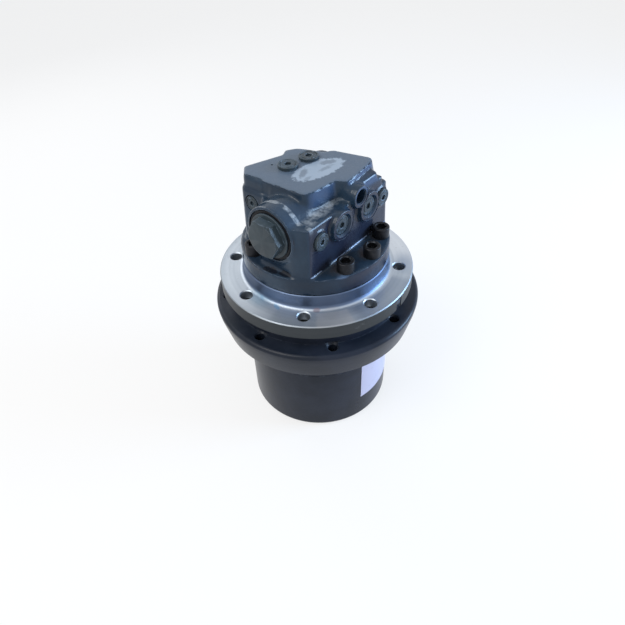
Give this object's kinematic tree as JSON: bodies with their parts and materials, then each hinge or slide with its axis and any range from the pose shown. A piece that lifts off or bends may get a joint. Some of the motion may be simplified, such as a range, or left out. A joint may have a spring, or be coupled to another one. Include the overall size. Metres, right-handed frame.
{
  "type": "excavator final drive",
  "caption": "Track travel motor and two-stage planetary final drive: fixed flanged spindle, ported valve block and turning sprocket hub.",
  "frame": {"origin": "on the axis of the hub, in the plane of the end face that the drive stands on", "axes": "+Z along the hub's axis, up towards the valve block; -Y the way the main ports look; X along the counterbalance bore, whose hexagon cap is on the -X side"},
  "size_m": [0.234, 0.234, 0.3067],
  "materials": {
    "block_paint": "cast iron under dark blue-grey gloss paint",
    "hub_paint": "cast iron under charcoal gloss paint",
    "turned_steel": "bare turned steel",
    "ground_steel": "ground and hardened steel",
    "gear_steel": "case-hardened steel, dull",
    "black_oxide": "black oxide with a little rust",
    "plug_paint": "steel painted over with the block",
    "bronze": "bare bronze",
    "rubber": "matt black nitrile",
    "spring_steel": "oiled spring steel"
  },
  "bodies": {
    "frame_side": {"spindle": "turned_steel", "valve_block": "block_paint", "stage_2_retainer": "ground_steel", "bearing_inner_upper": "ground_steel", "bearing_inner_lower": "ground_steel", "bearing_nut": "gear_steel", "seal_ring_fixed": "ground_steel", "seal_cord_fixed": "rubber", "shaft_bearing_cup": "ground_steel", "shaft_seal": "rubber", "shaft_needle_bearing": "ground_steel", "swash_plate": "gear_steel", "valve_plate": "bronze", "brake_spring": "spring_steel", "block_screw_1": "black_oxide", "block_screw_2": "black_oxide", "block_screw_3": "black_oxide", "block_screw_4": "black_oxide", "block_screw_5": "black_oxide", "block_screw_6": "black_oxide", "port_plug_a": "plug_paint", "port_plug_b": "plug_paint", "gauge_plug_1": "plug_paint", "gauge_plug_2": "plug_paint", "side_plug": "plug_paint", "top_plug_1": "plug_paint", "top_plug_2": "plug_paint", "spool_cap": "plug_paint", "spool_end_plug": "plug_paint", "spool_spring_left": "spring_steel", "spool_spring_right": "spring_steel"},
    "hub_side": {"hub": "hub_paint", "ring_gear": "gear_steel", "end_cover": "hub_paint", "cover_snap_ring": "spring_steel", "cover_plug_1": "gear_steel", "cover_plug_2": "gear_steel", "bearing_outer_upper": "ground_steel", "bearing_outer_lower": "ground_steel", "seal_ring_turning": "ground_steel", "seal_cord_turning": "rubber"},
    "motor_drive": {"motor_shaft": "gear_steel", "shaft_bearing_cone": "ground_steel", "cylinder_block": "gear_steel", "piston_set": "ground_steel", "friction_disc": "bronze", "sun_shaft": "gear_steel"},
    "carrier": {"stage_1_carrier": "gear_steel", "stage_2_sun": "gear_steel"},
    "upper_cage": {"bearing_rollers_upper": "bronze"},
    "lower_cage": {"bearing_rollers_lower": "bronze"},
    "brake_piston": {"brake_piston": "gear_steel"},
    "spool": {"counterbalance_spool": "ground_steel"},
    "first_planet_1": {"stage_1_planet_1": "gear_steel"},
    "second_planet_1": {"stage_2_planet_1": "gear_steel"},
    "first_planet_2": {"stage_1_planet_2": "gear_steel"},
    "second_planet_2": {"stage_2_planet_2": "gear_steel"},
    "first_planet_3": {"stage_1_planet_3": "gear_steel"},
    "second_planet_3": {"stage_2_planet_3": "gear_steel"}
  },
  "joints": [
    {"name": "hub_spin", "type": "hinge", "parent": "frame_side", "child": "hub_side", "pos_m": [0, 0, 0.1], "axis": [0, 0, 1], "continuous": true},
    {"name": "motor_spin", "type": "hinge", "parent": "frame_side", "child": "motor_drive", "pos_m": [0, 0, 0.15], "axis": [0, 0, 1], "continuous": true},
    {"name": "carrier_spin", "type": "hinge", "parent": "frame_side", "child": "carrier", "pos_m": [0, 0, 0.05], "axis": [0, 0, 1], "continuous": true},
    {"name": "first_planet_1_spin", "type": "hinge", "parent": "carrier", "child": "first_planet_1", "pos_m": [0.04125, 0, 0.0335], "axis": [0, 0, 1], "continuous": true},
    {"name": "first_planet_2_spin", "type": "hinge", "parent": "carrier", "child": "first_planet_2", "pos_m": [-0.02063, 0.03572, 0.0335], "axis": [0, 0, 1], "continuous": true},
    {"name": "first_planet_3_spin", "type": "hinge", "parent": "carrier", "child": "first_planet_3", "pos_m": [-0.02063, -0.03572, 0.0335], "axis": [0, 0, 1], "continuous": true},
    {"name": "second_planet_1_spin", "type": "hinge", "parent": "frame_side", "child": "second_planet_1", "pos_m": [0.045, 0, 0.0745], "axis": [0, 0, 1], "continuous": true},
    {"name": "second_planet_2_spin", "type": "hinge", "parent": "frame_side", "child": "second_planet_2", "pos_m": [-0.0225, 0.03897, 0.0745], "axis": [0, 0, 1], "continuous": true},
    {"name": "second_planet_3_spin", "type": "hinge", "parent": "frame_side", "child": "second_planet_3", "pos_m": [-0.0225, -0.03897, 0.0745], "axis": [0, 0, 1], "continuous": true},
    {"name": "upper_cage_spin", "type": "hinge", "parent": "frame_side", "child": "upper_cage", "pos_m": [0, 0, 0.1491], "axis": [0, 0, 1], "continuous": true},
    {"name": "lower_cage_spin", "type": "hinge", "parent": "frame_side", "child": "lower_cage", "pos_m": [0, 0, 0.1226], "axis": [0, 0, 1], "continuous": true},
    {"name": "brake_release", "type": "slide", "parent": "frame_side", "child": "brake_piston", "axis": [0, 0, 1], "range_m": [0, 0.0012], "stiffness_N_per_m": 8000, "springref_m": -0.001, "deforming": ["brake_spring"]},
    {"name": "spool_shift", "type": "slide", "parent": "frame_side", "child": "spool", "axis": [1, 0, 0], "range_m": [-0.004, 0.004], "stiffness_N_per_m": 4000, "deforming": ["spool_spring_left", "spool_spring_right"]}
  ],
  "couplings": [
    {"joint": "motor_spin", "follows": "hub_spin", "ratio": -21},
    {"joint": "carrier_spin", "follows": "hub_spin", "ratio": -3},
    {"joint": "first_planet_1_spin", "follows": "hub_spin", "ratio": 10.286},
    {"joint": "first_planet_2_spin", "follows": "hub_spin", "ratio": 10.286},
    {"joint": "first_planet_3_spin", "follows": "hub_spin", "ratio": 10.286},
    {"joint": "second_planet_1_spin", "follows": "hub_spin", "ratio": 3},
    {"joint": "second_planet_2_spin", "follows": "hub_spin", "ratio": 3},
    {"joint": "second_planet_3_spin", "follows": "hub_spin", "ratio": 3},
    {"joint": "upper_cage_spin", "follows": "hub_spin", "ratio": 0.52384},
    {"joint": "lower_cage_spin", "follows": "hub_spin", "ratio": 0.52384}
  ]
}
